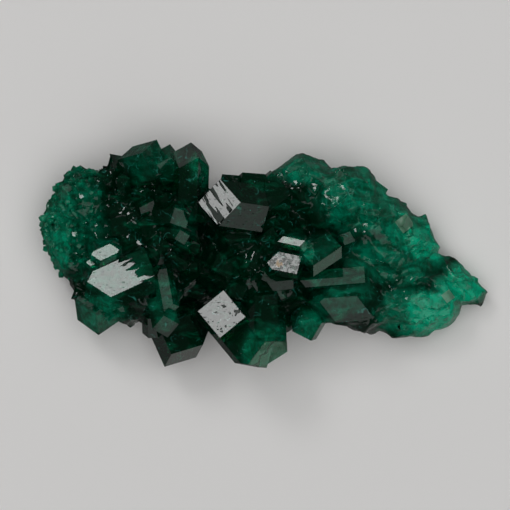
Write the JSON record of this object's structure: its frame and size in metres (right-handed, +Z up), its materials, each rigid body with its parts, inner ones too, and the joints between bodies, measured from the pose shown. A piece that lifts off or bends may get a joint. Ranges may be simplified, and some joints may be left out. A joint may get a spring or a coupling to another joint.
{
  "type": "dioptase crystal cluster",
  "caption": "Cluster of deep green dioptase prisms with three-faced tips, grown together with a broken mass and a rounded sugary lobe, cut flat to rest on its foot.",
  "frame": {"origin": "centre of the bounding box in X and Y, on the flat foot in Z", "axes": "+X along the cluster's length towards the tapering broken end, +Y across it towards the crown of crystals, +Z up from the flat foot to the crystal tips"},
  "size_m": [0.0506, 0.0256, 0.0136],
  "materials": {
    "dioptase": "glassy crystal faces, some striated or pitted, over deep green transparent stone; breaks rough and sugary"
  },
  "bodies": {
    "root": {"dioptase_cluster": "dioptase"}
  },
  "joints": []
}
